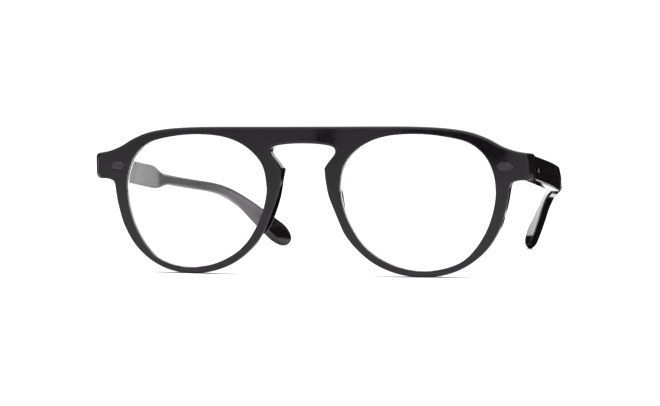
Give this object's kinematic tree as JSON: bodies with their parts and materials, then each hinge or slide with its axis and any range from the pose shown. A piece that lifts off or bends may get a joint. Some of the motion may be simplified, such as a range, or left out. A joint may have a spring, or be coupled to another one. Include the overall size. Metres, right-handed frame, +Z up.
{
  "type": "eyeglasses",
  "caption": "Glazed acetate eyeglasses with a flat brow line, keyhole bridge, built-up nose pads, metal plaques and folding temples on knuckle hinges.",
  "frame": {"origin": "centre of the bounding box's bottom face, on the surface that the glasses stand on, temples open", "axes": "+Z up; -Y the way the front's face looks; +Y along the open temples; +X the wearer's left"},
  "size_m": [0.1408, 0.1426, 0.0453],
  "materials": {
    "acetate": "polished, near-black",
    "lens": "clear, polished",
    "plaque_metal": "dark gunmetal, finely engraved",
    "hinge_metal": "satin nickel silver",
    "screw_metal": "polished steel",
    "rivet_metal": "ground flush",
    "core_metal": "drawn wire"
  },
  "bodies": {
    "front": {"front": "acetate", "lens_left": "lens", "nose_pad_left": "acetate", "plaque_left": "plaque_metal", "front_hinge_left": "hinge_metal", "hinge_screw_left": "screw_metal", "lens_right": "lens", "nose_pad_right": "acetate", "plaque_right": "plaque_metal", "front_hinge_right": "hinge_metal", "hinge_screw_right": "screw_metal"},
    "temple_left": {"temple_left": "acetate", "temple_hinge_left": "hinge_metal", "temple_rivet_left": "rivet_metal", "core_wire_left": "core_metal"},
    "temple_right": {"temple_right": "acetate", "temple_hinge_right": "hinge_metal", "temple_rivet_right": "rivet_metal", "core_wire_right": "core_metal"}
  },
  "joints": [
    {"name": "left_temple_fold", "type": "hinge", "parent": "front", "child": "temple_left", "pos_m": [0.0629, -0.06054, 0.03285], "axis": [0, -0.03, 0.9995], "range_deg": [0, 83]},
    {"name": "right_temple_fold", "type": "hinge", "parent": "front", "child": "temple_right", "pos_m": [-0.0629, -0.06054, 0.03285], "axis": [0, 0.03, -0.9995], "range_deg": [0, 77]}
  ]
}
